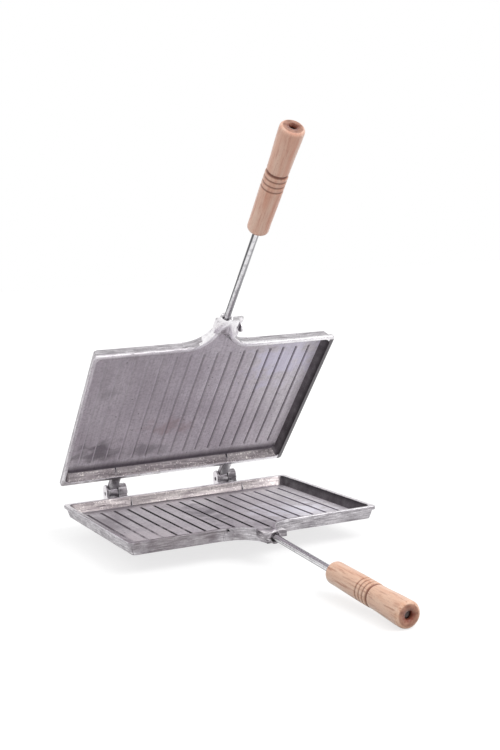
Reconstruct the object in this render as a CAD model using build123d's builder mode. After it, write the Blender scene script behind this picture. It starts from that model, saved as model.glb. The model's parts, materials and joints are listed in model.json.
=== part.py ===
from build123d import *
import os
from math import cos, radians, sin, tan

# Hinged sandwich press: two shallow cast trays with grooved floors, pinned together along one side,
# each with a steel rod handle and a turned wooden grip on the other side.
#
# Frame: origin in the middle of the lower tray's flat underside, +X right, +Y towards the hinge,
# +Z up. Both halves are drawn closed about the parting plane (z = 0 there, the lower half below it,
# the upper half above it) and are then seated: the lower half is lifted on to its underside, and
# the upper half also swings open about the hinge pins.

# ---- Driving dimensions, mm and degrees ----
TRAY_WIDTH = 250.0            # along the hinge line
TRAY_DEPTH = 195.0            # hinge side to handle side, over the lips
TRAY_HEIGHT = 12.5            # one half, rim face to flat back
TRAY_CORNER_RADIUS = 3.5
FLOOR_THICKNESS = 2.9
RIM_WIDTH = 4.0               # flat rim face between the lip and the pocket
RIM_GAP = 0.4                 # between the two rim faces when shut
LIP_HEIGHT = 3.6              # proud band round the rim
LIP_OVERHANG = 1.8
OUTER_DRAFT = 16.0            # slope of the outside walls
INNER_DRAFT = 21.5            # slope of the pocket walls
POCKET_CORNER_RADIUS = 6.0

GROOVE_COUNT = 16
GROOVE_PITCH = 14.2
GROOVE_WIDTH = 1.9
GROOVE_DEPTH = 0.8
GROOVE_MARGIN = 13.0          # pocket floor's corner to the end of a groove

NECK_TIP_WIDTH = 16.5
NECK_FLARE_RADIUS = 25.5      # concave arcs that draw the handle side out into the neck
THROAT_REACH = 20.5           # how far the pocket runs on into the neck
RUNOUT_DEPTH = 1.0            # shallow end of the throat
RUNOUT_STOP = 8.0             # front of the boss to the round tip of the shallow end

BOSS_REACH = 34.4             # handle side of the rim to the front of the boss
BOSS_LENGTH = 15.4
BOSS_DIAMETER = 12.3
FLANGE_WIDTH = 23.0           # flat shoulder of the boss, flush with the rim face
FLANGE_THICKNESS = 6.0
CLAW_THICKNESS = 2.2          # rounded tab on the upper boss that hangs beside the lower one
CLAW_RADIUS = 4.5
CLAW_DROP = 3.0               # how far the tab hangs below its own rim face
CLAW_CLEARANCE = 2.9          # between the tab and the side of the lower boss
CLAW_SHELF_SETBACK = 3.0      # upper rim face to the shelf that carries the tab
CLAW_SHELF_LENGTH = 26.0      # front of the boss to where the shelf runs out in the flare

HINGE_OFFSET = 23.0           # hinge side of the rim to the pin axis
HINGE_SPACING = 125.7         # between the middles of the two hinges
HINGE_SHIFT = 1.4             # the pair sits a little right of the tray's middle
EAR_RISE = 9.0                # pin axis to the top of an ear, and to the underside of its arm
EAR_RADIUS = 6.0              # round top of an ear
EAR_FILLET = 2.0              # in the corner between an ear and its arm
EAR_HEEL = 4.0                # round lower back corner of an ear
ARM_DROP = 3.5                # lower rim face to the top of the arms and the web between them
WEB_CLEARANCE = 1.0           # web to the barrel of the tongue
THIN_EAR = 2.6                # the left ear of each hinge
THICK_EAR = 9.0               # the right ear of each hinge
TONGUE_WIDTH = 10.0
TONGUE_RADIUS = 5.5
TONGUE_SIDE_GAP = 0.4
PIN_DIAMETER = 4.4
PIN_RECESS = 1.4              # the pin's plain end lies this deep in the thin ear
PIN_HEAD_DIAMETER = 6.6
PIN_HEAD_HEIGHT = 1.3
PIN_RUNNING_CLEARANCE = 0.08  # radial, pin to tongue
GATE_LEFT_X = -80.5           # where the lower lip was ground away at the casting gate
GATE_LIP = 1.5                # what is left of the lip's height there
GATE_SCOOP_RADIUS = 6.0       # round end of the ground strip, on the left flare
GATE_SCOOP_X = -30.0
GATE_SCOOP_TOP = 0.8          # rim face to the top of the round end
GATE_SCOOP_DEPTH = 1.3        # how far it cuts into the flare
SLIT_WIDTH = 1.4              # shrink slot in the pocket wall behind each thick lug
SLIT_SETBACK = 0.8            # rim's inner edge to the blind side of a slot

ROD_DIAMETER = 6.0
ROD_DROP = 5.5                # rim face to the rod's axis, at the front of the boss
ROD_SEAT = 12.0               # rod inside the boss
MOUTH_DIAMETER = 8.8          # hollow round the rod in the front of the boss
MOUTH_DEPTH = 2.5
ROD_EXPOSED = 108.0           # boss to grip
LOWER_ROD_TILT = 3.8          # away from the parting plane
UPPER_ROD_TILT = 0.9
ROD_PIN_DIAMETER = 3.0
ROD_PIN_COVER = 1.2           # metal left over the blind end of the cross pin
FIT_CLEARANCE = 0.01          # radial, driven and pressed fits

GRIP_LENGTH = 112.0
GRIP_ROOT_DIAMETER = 19.5
GRIP_END_DIAMETER = 21.0
GRIP_ROOT_ROUNDING = 3.0
GRIP_END_ROUNDING = 3.0
SHOULDER_FACETS = 2           # flats that each round shoulder is turned in
GRIP_RINGS = ((0.38, 0.7), (0.43, 0.7), (0.48, 0.7))                # share of the length, depth
GRIP_STEP_RING = (0.54, 1.1)  # the deepest ring, where the thicker end part begins
RECESS_DIAMETER = 7.5
RECESS_DEPTH = 5.0
WASHER_DIAMETER = 7.2
WASHER_THICKNESS = 0.8
TENON_DIAMETER = 4.0          # rod's turned-down end through the washer
PEEN_DIAMETER = 5.6
PEEN_HEIGHT = 1.2

OPEN_ANGLE = 46.4             # how far the upper half stands open

# ---- Worked out from them ----
RIM_Z = -RIM_GAP / 2
BACK_Z = RIM_Z - TRAY_HEIGHT
HANDLE_Y = -TRAY_DEPTH / 2
POCKET_DEPTH = TRAY_HEIGHT - FLOOR_THICKNESS
FLOOR_INSET = RIM_WIDTH + POCKET_DEPTH * tan(radians(INNER_DRAFT))
GROOVE_LENGTH = TRAY_DEPTH - 2 * (FLOOR_INSET + GROOVE_MARGIN)
BOSS_FRONT_Y = HANDLE_Y - BOSS_REACH
CLAW_Y = BOSS_FRONT_Y + BOSS_LENGTH - CLAW_RADIUS
CLAW_LEFT_X = FLANGE_WIDTH / 2 + CLAW_CLEARANCE
HINGE_Y = TRAY_DEPTH / 2 + HINGE_OFFSET
CLEVIS_WIDTH = THIN_EAR + TONGUE_WIDTH + THICK_EAR + 2 * TONGUE_SIDE_GAP
HINGES = {"left": HINGE_SHIFT - HINGE_SPACING / 2, "right": HINGE_SHIFT + HINGE_SPACING / 2}
GRIP_START = ROD_EXPOSED
GRIP_STOP = ROD_EXPOSED + GRIP_LENGTH
LOWER = -1                    # which side of the parting plane a half lies on
UPPER = 1

SEATED = Location((0, 0, -BACK_Z))
HINGE_AXIS = Location((0, HINGE_Y, 0))
SWUNG_OPEN = SEATED * HINGE_AXIS * Location((0, 0, 0), (-OPEN_ANGLE, 0, 0)) * HINGE_AXIS.inverse()


def finish(piece, name, seat):
    """Seat a finished piece in the part's frame and write it under its own name."""
    piece.part.move(seat)
    piece.part.label = name
    export_step(piece.part, f"parts/{name}.step")


def tongue_middle(hinge_x):
    return hinge_x - CLEVIS_WIDTH / 2 + THIN_EAR + TONGUE_SIDE_GAP + TONGUE_WIDTH / 2


def thick_ear_middle(hinge_x):
    return hinge_x + (CLEVIS_WIDTH - THICK_EAR) / 2


def plate_outline(height, inset):
    """Plain rounded rectangle of the tray, set in from the outside of the lip."""
    with BuildSketch(Plane.XY.offset(height)) as outline:
        RectangleRounded(TRAY_WIDTH - 2 * inset, TRAY_DEPTH - 2 * inset, TRAY_CORNER_RADIUS)
    return outline.sketch


def neck_outline(height, inset):
    """Neck between two concave flares, from inside the tray's wall to the middle of the boss."""
    tip_x = NECK_TIP_WIDTH / 2 - inset
    flare_radius = NECK_FLARE_RADIUS + inset
    start_y = HANDLE_Y + FLOOR_INSET
    edge_y = HANDLE_Y + inset
    stop_y = BOSS_FRONT_Y + BOSS_LENGTH / 2
    with BuildSketch(Plane.XY.offset(height)) as outline:
        with BuildLine():
            Polyline((0, start_y), (tip_x + flare_radius, start_y), (tip_x + flare_radius, edge_y))
            CenterArc((tip_x + flare_radius, edge_y - flare_radius), flare_radius, 90, 90)
            Polyline((tip_x, edge_y - flare_radius), (tip_x, stop_y), (0, stop_y))
            mirror(about=Plane.YZ)
        make_face()
    return outline.sketch


def pocket_outline(height, inset):
    """Tray's outline set in, its handle side drawn out between the flares into a blunt throat."""
    edge_x = TRAY_WIDTH / 2 - inset
    edge_y = TRAY_DEPTH / 2 - inset
    flare_x = NECK_TIP_WIDTH / 2 + NECK_FLARE_RADIUS
    flare_y = HANDLE_Y - NECK_FLARE_RADIUS
    with BuildSketch(Plane.XY.offset(height)) as outline:
        RectangleRounded(2 * edge_x, 2 * edge_y, POCKET_CORNER_RADIUS)
        with Locations((0, -edge_y)):
            Rectangle(2 * flare_x, THROAT_REACH, align=(Align.CENTER, Align.MAX))
        with Locations((-flare_x, flare_y), (flare_x, flare_y)):
            Circle(NECK_FLARE_RADIUS + inset, mode=Mode.SUBTRACT)
    return outline.sketch


def drafted(outline, near, far, inset, draft, mode=Mode.ADD):
    """Block between two heights, its outline drawn in towards the far one by the draft."""
    far_inset = inset + abs(far - near) * tan(radians(draft))
    loft([outline(near, inset), outline(far, far_inset)], ruled=True, mode=mode)


def rod_plane(side):
    """At the front of the boss on the rod's axis, its z direction running out along the rod."""
    tilt = radians(LOWER_ROD_TILT if side == LOWER else UPPER_ROD_TILT)
    return Plane(
        origin=(0, BOSS_FRONT_Y, side * (ROD_DROP - RIM_Z)),
        x_dir=(1, 0, 0),
        z_dir=(0, -cos(tilt), side * sin(tilt)),
    )


def ear_profile(middle_x):
    """Upright ear with a round top, on an arm that stays below the lower rim face."""
    arm_top = RIM_Z - ARM_DROP
    with BuildSketch(Plane.YZ.offset(middle_x)) as profile:
        with Locations((HINGE_Y, EAR_RISE - EAR_RADIUS)):
            Circle(EAR_RADIUS)
            Rectangle(2 * EAR_RADIUS, 2 * EAR_RISE - EAR_RADIUS, align=(Align.CENTER, Align.MAX))
        with Locations((HINGE_Y, -EAR_RISE)):
            Rectangle(HINGE_OFFSET + FLOOR_INSET, EAR_RISE + arm_top, align=(Align.MAX, Align.MIN))
        corner = profile.vertices().sort_by_distance((HINGE_Y - EAR_RADIUS, arm_top))[0]
        fillet(corner, EAR_FILLET)
        heel = profile.vertices().sort_by_distance((HINGE_Y + EAR_RADIUS, -EAR_RISE))[0]
        fillet(heel, EAR_HEEL)
    return profile.sketch


def web_profile(middle_x):
    """Web that joins the two arms of a hinge and stops short of the tongue's barrel."""
    web_front = HINGE_Y - TONGUE_RADIUS - WEB_CLEARANCE
    arm_top = RIM_Z - ARM_DROP
    with BuildSketch(Plane.YZ.offset(middle_x)) as profile:
        with Locations((web_front, -EAR_RISE)):
            Rectangle(web_front - TRAY_DEPTH / 2 + FLOOR_INSET, EAR_RISE + arm_top,
                      align=(Align.MAX, Align.MIN))
    return profile.sketch


def tongue_profile(middle_x):
    """Barrel round the pin, on an arm that stays above the upper rim face."""
    with BuildSketch(Plane.YZ.offset(middle_x)) as profile:
        with Locations((HINGE_Y, 0)):
            Circle(TONGUE_RADIUS)
        with Locations((HINGE_Y, -RIM_Z)):
            Rectangle(HINGE_OFFSET + FLOOR_INSET, TONGUE_RADIUS + RIM_Z, align=(Align.MAX, Align.MIN))
    return profile.sketch


def claw_profile():
    """Rounded tab seen from the side, its tip below the upper rim face."""
    with BuildSketch(Plane.YZ.offset(CLAW_LEFT_X)) as profile:
        with Locations((CLAW_Y, -RIM_Z - CLAW_DROP + CLAW_RADIUS)):
            Circle(CLAW_RADIUS)
            Rectangle(2 * CLAW_RADIUS, FLANGE_THICKNESS + CLAW_DROP - CLAW_RADIUS,
                      align=(Align.CENTER, Align.MIN))
    return profile.sketch


def cast_walls(side):
    """Outside of one half: lip band, drafted wall, flared neck and the boss for the rod."""
    rim = -side * RIM_Z
    under_lip = rim + side * LIP_HEIGHT
    flat_back = rim + side * TRAY_HEIGHT
    extrude(plate_outline(rim, 0), amount=side * LIP_HEIGHT)
    drafted(plate_outline, under_lip, flat_back, LIP_OVERHANG, OUTER_DRAFT)
    drafted(neck_outline, rim, flat_back, 0, OUTER_DRAFT)
    with BuildSketch(Plane.XZ.offset(-BOSS_FRONT_Y)) as flange:
        with Locations((0, rim + side * FLANGE_THICKNESS / 2)):
            Rectangle(FLANGE_WIDTH, FLANGE_THICKNESS)
    extrude(flange.sketch, amount=-BOSS_LENGTH)
    with BuildSketch(rod_plane(side)) as barrel:
        Circle(BOSS_DIAMETER / 2)
    extrude(barrel.sketch, amount=-BOSS_LENGTH)
    split(bisect_by=Plane.XY.offset(rim), keep=Keep.TOP if side == UPPER else Keep.BOTTOM)


def cast_pocket(side):
    """Inside of one half: drafted pocket, floor grooves, the throat's shallow end, the rod's seat."""
    rim = -side * RIM_Z
    floor = rim + side * POCKET_DEPTH
    drafted(pocket_outline, rim, floor, RIM_WIDTH, INNER_DRAFT, mode=Mode.SUBTRACT)
    with BuildSketch(Plane.XY.offset(floor)) as grooves:
        with GridLocations(GROOVE_PITCH, 1, GROOVE_COUNT, 1):
            Rectangle(GROOVE_WIDTH, GROOVE_LENGTH)
    extrude(grooves.sketch, amount=side * GROOVE_DEPTH, mode=Mode.SUBTRACT)
    runout_width = NECK_TIP_WIDTH - 2 * RIM_WIDTH
    tip_y = BOSS_FRONT_Y + RUNOUT_STOP
    root_y = HANDLE_Y + RIM_WIDTH - THROAT_REACH + runout_width / 2
    with BuildSketch(Plane.XY.offset(rim)) as runout:
        with Locations((0, (tip_y + root_y) / 2)):
            SlotOverall(root_y - tip_y, runout_width, rotation=90)
    extrude(runout.sketch, amount=side * RUNOUT_DEPTH, mode=Mode.SUBTRACT)
    for diameter, depth in ((ROD_DIAMETER + 2 * FIT_CLEARANCE, ROD_SEAT), (MOUTH_DIAMETER, MOUTH_DEPTH)):
        with Locations(rod_plane(side).offset(ROD_DIAMETER)):
            Cylinder(diameter / 2, ROD_DIAMETER + depth,
                     align=(Align.CENTER, Align.CENTER, Align.MAX), mode=Mode.SUBTRACT)
    with Locations(rod_pin_plane(side)):
        Cylinder(ROD_PIN_DIAMETER / 2 + FIT_CLEARANCE, 2 * BOSS_DIAMETER,
                 align=(Align.CENTER, Align.CENTER, Align.MIN), mode=Mode.SUBTRACT)


def rod_pin_plane(side):
    """At the blind end of the cross pin, its z direction running out of the back of the boss."""
    reach = ROD_SEAT / 2
    blind = ROD_PIN_COVER - RIM_Z
    return Plane(origin=(0, BOSS_FRONT_Y + reach, side * blind), x_dir=(1, 0, 0), z_dir=(0, 0, side))


def shrink_slot(middle_x, side):
    """Narrow upright slot in the pocket wall behind a thick lug."""
    with Locations((middle_x, TRAY_DEPTH / 2 - RIM_WIDTH - SLIT_SETBACK, -side * RIM_Z)):
        Box(SLIT_WIDTH, FLOOR_INSET - SLIT_SETBACK, 2 * POCKET_DEPTH,
            align=(Align.CENTER, Align.MAX, Align.CENTER), mode=Mode.SUBTRACT)


def ground_gate():
    """Strip under the lower lip, ground away at the casting gate, with a round end on the flare."""
    wall_y = HANDLE_Y + LIP_OVERHANG
    scoop_z = RIM_Z - GATE_SCOOP_TOP - GATE_SCOOP_RADIUS
    with BuildSketch(Plane.XZ.offset(-wall_y)) as strip:
        with Locations((GATE_LEFT_X, RIM_Z - GATE_LIP)):
            Rectangle(GATE_SCOOP_X - GATE_LEFT_X, LIP_HEIGHT - GATE_LIP, align=(Align.MIN, Align.MAX))
    extrude(strip.sketch, amount=LIP_OVERHANG, mode=Mode.SUBTRACT)
    with BuildSketch(Plane.XZ.offset(-HANDLE_Y - LIP_OVERHANG + GATE_SCOOP_DEPTH)) as scoop:
        with Locations((GATE_SCOOP_X, scoop_z)):
            Circle(GATE_SCOOP_RADIUS)
    extrude(scoop.sketch, amount=2 * LIP_OVERHANG, mode=Mode.SUBTRACT)


def hinge_bore(diameter):
    with Locations(Plane.YZ):
        with Locations((HINGE_Y, 0)):
            Cylinder(diameter / 2, TRAY_WIDTH, mode=Mode.SUBTRACT)


def rod_shape(side):
    """Round rod from its seat in the boss to a peened tenon in the end of the grip."""
    recess_floor = GRIP_STOP - RECESS_DEPTH
    steps = ((ROD_DIAMETER, -ROD_SEAT, recess_floor),
             (TENON_DIAMETER, recess_floor, recess_floor + WASHER_THICKNESS),
             (PEEN_DIAMETER, recess_floor + WASHER_THICKNESS, recess_floor + WASHER_THICKNESS + PEEN_HEIGHT))
    for diameter, start, stop in steps:
        with BuildSketch(rod_plane(side).offset(start)) as section:
            Circle(diameter / 2)
        extrude(section.sketch, amount=stop - start)
    with Locations(rod_pin_plane(side)):
        Cylinder(ROD_PIN_DIAMETER / 2 + FIT_CLEARANCE, 2 * BOSS_DIAMETER, mode=Mode.SUBTRACT)


def rod_pin_shape(side):
    length = ROD_DROP - ROD_PIN_COVER + BOSS_DIAMETER / 2 - 2 * FIT_CLEARANCE
    with Locations(rod_pin_plane(side)):
        Cylinder(ROD_PIN_DIAMETER / 2, length, align=(Align.CENTER, Align.CENTER, Align.MIN))


def shoulder(face, inward, radius, rounding):
    """Points of a turned round shoulder, from the grip's end face out to its full radius."""
    turns = [radians(90 * facet / SHOULDER_FACETS) for facet in range(SHOULDER_FACETS + 1)]
    return [(face + inward * rounding * (1 - cos(turn)), radius - rounding * (1 - sin(turn))) for turn in turns]


def grip_shape(side):
    """Turned grip: two plain lengths parted by four rings, with round shoulders at both ends."""
    rod = rod_plane(side)
    lengthwise = Plane(origin=rod.origin, x_dir=rod.z_dir, z_dir=(1, 0, 0))
    root_radius = GRIP_ROOT_DIAMETER / 2
    end_radius = GRIP_END_DIAMETER / 2
    step_share, step_depth = GRIP_STEP_RING
    step_x = GRIP_START + step_share * GRIP_LENGTH
    with BuildSketch(lengthwise) as profile:
        with BuildLine():
            Polyline(
                (GRIP_START, 0),
                *shoulder(GRIP_START, 1, root_radius, GRIP_ROOT_ROUNDING),
                (step_x, root_radius),
                (step_x, end_radius),
                *reversed(shoulder(GRIP_STOP, -1, end_radius, GRIP_END_ROUNDING)),
                (GRIP_STOP, 0),
                close=True,
            )
        make_face()
        for share, depth in GRIP_RINGS:
            with Locations((GRIP_START + share * GRIP_LENGTH, root_radius)):
                RegularPolygon(depth, 4, mode=Mode.SUBTRACT)
        with Locations((step_x, end_radius)):
            RegularPolygon(step_depth, 4, mode=Mode.SUBTRACT)
    revolve(profile.sketch, axis=Axis(rod.origin, rod.z_dir))
    bore = ROD_DIAMETER / 2 + FIT_CLEARANCE
    with Locations(rod.offset(GRIP_STOP)):
        CounterBoreHole(bore, RECESS_DIAMETER / 2, RECESS_DEPTH, 2 * GRIP_LENGTH)


def washer_shape(side):
    with Locations(rod_plane(side).offset(GRIP_STOP - RECESS_DEPTH)):
        Cylinder(WASHER_DIAMETER / 2, WASHER_THICKNESS, align=(Align.CENTER, Align.CENTER, Align.MIN))
        Hole(TENON_DIAMETER / 2 + FIT_CLEARANCE)


os.makedirs("parts", exist_ok=True)

# Lower tray: a thin and a thick ear at each hinge, their arms joined by a web
with BuildPart() as lower_tray:
    cast_walls(LOWER)
    for hinge_x in HINGES.values():
        thin_ear_middle = hinge_x - (CLEVIS_WIDTH - THIN_EAR) / 2
        for middle_x, thickness in ((thin_ear_middle, THIN_EAR), (thick_ear_middle(hinge_x), THICK_EAR)):
            extrude(ear_profile(middle_x), amount=thickness / 2, both=True)
        extrude(web_profile(thin_ear_middle), amount=thick_ear_middle(hinge_x) - thin_ear_middle)
    cast_pocket(LOWER)
    for hinge_x in HINGES.values():
        shrink_slot(thick_ear_middle(hinge_x), LOWER)
    hinge_bore(PIN_DIAMETER + 2 * FIT_CLEARANCE)
    ground_gate()
finish(lower_tray, "lower_tray", SEATED)

# Upper tray: one tongue at each hinge, and a claw on a shelf to the right of its boss
with BuildPart() as upper_tray:
    cast_walls(UPPER)
    for hinge_x in HINGES.values():
        extrude(tongue_profile(tongue_middle(hinge_x)), amount=TONGUE_WIDTH / 2, both=True)
    cast_pocket(UPPER)
    for hinge_x in HINGES.values():
        shrink_slot(tongue_middle(hinge_x), UPPER)
    hinge_bore(PIN_DIAMETER + 2 * PIN_RUNNING_CLEARANCE)
    with Locations((CLAW_LEFT_X + CLAW_THICKNESS, BOSS_FRONT_Y, FLANGE_THICKNESS - RIM_Z)):
        Box(CLAW_LEFT_X + CLAW_THICKNESS - BOSS_DIAMETER / 2, CLAW_SHELF_LENGTH,
            FLANGE_THICKNESS - CLAW_SHELF_SETBACK, align=(Align.MAX, Align.MIN, Align.MAX))
    extrude(claw_profile(), amount=CLAW_THICKNESS)
finish(upper_tray, "upper_tray", SWUNG_OPEN)

# Hinge pins: driven in from the right, headed there, the plain end sunk in the thin ear
for hinge_side, hinge_x in HINGES.items():
    with BuildPart(Plane.YZ.offset(hinge_x + CLEVIS_WIDTH / 2)) as hinge_pin:
        with Locations((HINGE_Y, 0)):
            Cylinder(PIN_DIAMETER / 2, CLEVIS_WIDTH - PIN_RECESS, align=(Align.CENTER, Align.CENTER, Align.MAX))
            Cylinder(PIN_HEAD_DIAMETER / 2, PIN_HEAD_HEIGHT, align=(Align.CENTER, Align.CENTER, Align.MIN))
    finish(hinge_pin, f"hinge_pin_{hinge_side}", SEATED)

# Handles: the same rod, cross pin, grip and washer on each half, along that half's own rod axis
for half, side, seat in (("lower", LOWER, SEATED), ("upper", UPPER, SWUNG_OPEN)):
    with BuildPart() as rod:
        rod_shape(side)
    finish(rod, f"{half}_rod", seat)

    with BuildPart() as rod_pin:
        rod_pin_shape(side)
    finish(rod_pin, f"{half}_rod_pin", seat)

    with BuildPart() as grip:
        grip_shape(side)
    finish(grip, f"{half}_grip", seat)

    with BuildPart() as end_washer:
        washer_shape(side)
    finish(end_washer, f"{half}_end_washer", seat)
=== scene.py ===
import json
from math import cos, pi, radians, sin

import bmesh
import bpy
from mathutils import Euler, Matrix, Vector


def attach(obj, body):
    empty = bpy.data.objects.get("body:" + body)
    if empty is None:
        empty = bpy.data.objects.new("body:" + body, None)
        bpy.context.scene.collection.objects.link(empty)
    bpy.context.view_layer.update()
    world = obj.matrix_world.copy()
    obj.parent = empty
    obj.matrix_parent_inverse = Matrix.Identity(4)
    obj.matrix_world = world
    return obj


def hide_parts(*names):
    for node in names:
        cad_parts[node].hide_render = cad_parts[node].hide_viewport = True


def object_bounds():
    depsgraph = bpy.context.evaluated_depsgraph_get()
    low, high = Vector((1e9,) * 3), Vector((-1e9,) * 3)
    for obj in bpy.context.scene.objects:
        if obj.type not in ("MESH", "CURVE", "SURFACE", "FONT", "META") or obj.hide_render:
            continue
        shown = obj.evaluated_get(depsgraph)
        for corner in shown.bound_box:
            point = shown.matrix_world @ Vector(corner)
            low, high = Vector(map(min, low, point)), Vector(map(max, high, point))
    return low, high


# Hinged sandwich press: two cast aluminium trays with ground rims, bright steel rods and turned
# beech grips, standing half open. Lengths are metres, as in the frame, or millimetres times MM.

MM = 0.001

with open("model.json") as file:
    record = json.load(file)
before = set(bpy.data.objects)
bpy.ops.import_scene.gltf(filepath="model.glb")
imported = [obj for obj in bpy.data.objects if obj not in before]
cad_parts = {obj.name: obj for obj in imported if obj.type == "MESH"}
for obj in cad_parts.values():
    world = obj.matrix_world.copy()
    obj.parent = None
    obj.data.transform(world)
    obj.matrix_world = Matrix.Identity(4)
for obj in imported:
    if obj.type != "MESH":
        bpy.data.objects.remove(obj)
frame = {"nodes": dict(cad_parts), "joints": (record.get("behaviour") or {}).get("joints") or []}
cad_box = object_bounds()
nodes = frame["nodes"]
hinge = frame["joints"][0]
HINGE_PLACE = Vector(hinge["pos_m"])
OPEN_ANGLE = radians(-hinge["range_deg"][0])     # the upper half stands this far open at rest

# ---- Camera: the photograph's viewpoint ----
CAMERA_AIM = Vector((0, 23.0, 12.7)) * MM        # middle of the lower tray, at its rim
CAMERA_DISTANCE = 1275.2 * MM
CAMERA_TURN = radians(-25.03)                    # round from straight in front, towards the left
CAMERA_RISE = radians(6.56)
CAMERA_ROLL = radians(-2.62)
CAMERA_SLIDE = Vector((43.9, 125.5, 0)) * MM     # along the picture, right and up
PICTURE_HEIGHT = 36.0                            # mm, on the sensor
CAMERA_LENS = 61.35                              # mm, on a picture of that height

# ---- The trays, mm, as they lie when the press is shut ----
TRAY_WIDTH = 250.0
TRAY_DEPTH = 195.0
HINGE_SIDE = TRAY_DEPTH / 2   # outer edges of the rims, from the tray's middle
HANDLE_SIDE = -TRAY_DEPTH / 2
RIM_WIDTH = 3.9               # just under the rim face's
HALF_GAP = 0.2                # parting plane to a rim face
LIP_HEIGHT = 3.6
FLOOR_DEPTH = 9.6             # rim face to pocket floor
BACK_DEPTH = 12.5             # rim face to flat back
FLOOR_EDGE = 89.7             # middle of the pocket floor to the foot of the hinge-side wall
GROOVE_PITCH = 14.2           # between the middles of two floor grooves
GROOVE_SHARE = 1.5            # middle of a groove to the last edge that is the groove's
SLOT_START = 85.0             # from here on an upright face in the pocket is a shrink slot's
NECK_REACH = 3.0              # handle side of the rim to where the ground neck begins
BOSS_BEGINS = 17.0            # handle side of the rim to the lower boss
CLAW_START = 7.0              # middle of the upper boss to the shelf and claw beside it
PAST_LIP = 0.5                # hinge side of the rim to the first face of a hinge
HINGE_MIDDLES = (-61.45, 64.25)
EAR_INSIDE = 5.4              # middle of a hinge to the ears' faces beside the tongue
BARREL_START = 114.5          # where a tongue's arm runs into its barrel

# ---- Wear, darkening and painted shade on the trays, mm, when shut ----
EDGE_ROUNDING = 0.45          # cast and worn edges
ROUNDED_ANGLE = radians(32)   # edges sharper than this are rounded
FACED_FRONT = 1.5             # edges this near the front of a boss are its machined face's
PIN_HOLE_START = -118.0       # the cross pin's hole in a boss's back lies in front of this
PIN_HOLE_REACH = 4.5
GATE_END = -24.0              # edges of the lower rim keep the skin's finish, not the bright one, from its left corner to here,
GATE_BAND = 88.0              # on edges this far out towards the handle
DARK_RIGHT_FROM = 120.5            # the upper rim is darker along its right side, from here out,
DARK_RIGHT_FADE = 0.6               # fading in over this width,
DARK_RIGHT_CORNER = (2.5, 5.0)      # and begins and is full this far from the handle side
DARK_RIGHT_EDGES = 4.0            # as far from the handle side as the first darker edge, which has the painted-shade wall finish
POCKET_RIM = 1.5              # floor to where the pocket's edges are worn like those of the rim

# ---- Two faces that differ by less are alike ----
NEAR = 0.1                    # mm
LEVEL = 0.99                  # share of a unit normal
UPRIGHT = 0.98
FACING = 0.9

# ---- The grips and rods, mm ----
BOSS_FRONT = Vector((0, -131.9, 0))              # closed, on the parting plane
ROD_DROP = 5.7                # parting plane to the rod's axis there
ROD_EXPOSED = 108.0
LOWER_ROD_TILT = radians(3.8)
UPPER_ROD_TILT = radians(0.9)
ROD_RADIUS = 3.0
GRIP_LENGTH = 112.0
SCORCHED_END = (95.0, 100.0)  # start of the grip to where a rod's end begins to scorch and is brown


def add_object(name, data):
    """Puts a new object into the scene, at the origin."""
    made = bpy.data.objects.new(name, data)
    bpy.context.scene.collection.objects.link(made)
    return made


def add_camera():
    """Stands the camera at the photograph's angle, distance and framing."""
    data = bpy.data.cameras.new("camera")
    data.sensor_fit = "VERTICAL"
    data.sensor_height = PICTURE_HEIGHT
    data.lens = CAMERA_LENS
    data.clip_start = 0.05
    data.clip_end = 50
    camera = add_object("camera", data)
    turned = Euler((radians(90) - CAMERA_RISE, 0, CAMERA_TURN)).to_matrix()
    turned = turned @ Matrix.Rotation(CAMERA_ROLL, 3, "Z")
    place = CAMERA_AIM + turned @ (CAMERA_SLIDE + Vector((0, 0, CAMERA_DISTANCE)))
    camera.matrix_world = Matrix.Translation(place) @ turned.to_4x4()
    bpy.context.scene.camera = camera


# ---- Node trees ----
def linear(colour):
    """An sRGB hex colour as the linear red, green, blue and alpha that a shader takes."""
    channels = [int(colour[start:start + 2], 16) / 255 for start in (1, 3, 5)]
    return [c / 12.92 if c <= 0.04045 else ((c + 0.055) / 1.055) ** 2.4 for c in channels] + [1.0]


def add_node(tree, kind, inputs=None, **settings):
    """Adds one node with its settings; an input given as a socket is linked, any other is a value."""
    made = tree.nodes.new(kind)
    for name, value in settings.items():
        setattr(made, name, value)
    for name, value in (inputs or {}).items():
        if isinstance(value, bpy.types.NodeSocket):
            tree.links.new(value, made.inputs[name])
        else:
            made.inputs[name].default_value = value
    return made


def start_material(name):
    """A new material with only its Principled shader and output; returns it, its tree and the shader."""
    material = bpy.data.materials.new(name)
    material.use_nodes = True
    tree = material.node_tree
    tree.nodes.clear()
    shader = add_node(tree, "ShaderNodeBsdfPrincipled")
    add_node(tree, "ShaderNodeOutputMaterial", {"Surface": shader.outputs["BSDF"]})
    return material, tree, shader


def grain(tree, at, size, low=0.35, high=0.65, detail=3.0):
    """Share from 0 to 1 that wanders over the surface in grains of that size, in mm.

    The size may differ by axis, and low and high are the levels of the noise that give 0 and 1.
    """
    sizes = size if isinstance(size, tuple) else (size, size, size)
    stretched = add_node(tree, "ShaderNodeMapping", {"Vector": at, "Scale": [1 / s for s in sizes]})
    noise = add_node(tree, "ShaderNodeTexNoise", {
        "Vector": stretched.outputs["Vector"], "Scale": 1.0, "Detail": detail, "Roughness": 0.55})
    return add_node(tree, "ShaderNodeMapRange", {
        "Value": noise.outputs["Fac"], "From Min": low, "From Max": high}).outputs["Result"]


def tinted(tree, colour, share, tint, strength=1.0):
    """The colour so far, turned towards a tint by a share of the surface's own."""
    scaled = add_node(tree, "ShaderNodeMath", {0: share, 1: strength}, operation="MULTIPLY")
    mixed = add_node(tree, "ShaderNodeMix", {"Factor": scaled.outputs["Value"]}, data_type="RGBA")
    before, after = mixed.inputs[6], mixed.inputs[7]       # the node's two colours
    for socket, value in ((before, colour), (after, tint)):
        if isinstance(value, bpy.types.NodeSocket):
            tree.links.new(value, socket)
        else:
            socket.default_value = linear(value)
    return mixed.outputs[2]


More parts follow.
